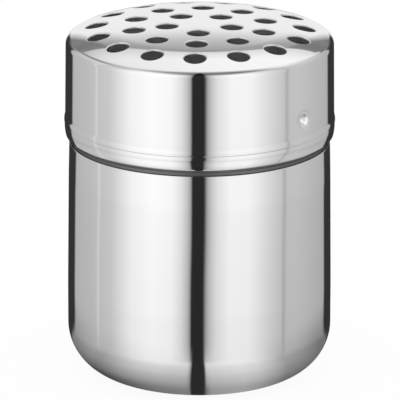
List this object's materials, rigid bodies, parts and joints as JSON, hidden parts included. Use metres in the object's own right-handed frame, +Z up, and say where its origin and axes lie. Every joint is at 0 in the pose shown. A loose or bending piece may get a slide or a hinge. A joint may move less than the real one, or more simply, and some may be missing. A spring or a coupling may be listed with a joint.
{
  "type": "spice shaker",
  "caption": "Mirror-polished sheet steel shaker: round-footed canister whose slotted neck takes a domed, perforated twist-lock cap, for dry spice, sugar or grated cheese.",
  "frame": {"origin": "centre of the ring that the canister stands on, on the common axis", "axes": "+Z up along the axis of revolution, -Y towards the side where one hole of every ring of the cap lies"},
  "size_m": [0.0706, 0.0704, 0.094],
  "materials": {
    "polished_steel": "mirror-polished stainless steel sheet"
  },
  "bodies": {
    "canister": {"canister": "polished_steel"},
    "rim_hoop": {"rim_hoop": "polished_steel"},
    "shaker_cap": {"shaker_cap": "polished_steel"}
  },
  "joints": [
    {"name": "cap_lift", "type": "slide", "parent": "canister", "child": "rim_hoop", "axis": [0, 0, 1], "range_m": [0, 0.04]},
    {"name": "cap_turn", "type": "hinge", "parent": "rim_hoop", "child": "shaker_cap", "pos_m": [0, 0, 0.0735], "axis": [0, 0, -1], "range_deg": [0, 20]}
  ]
}
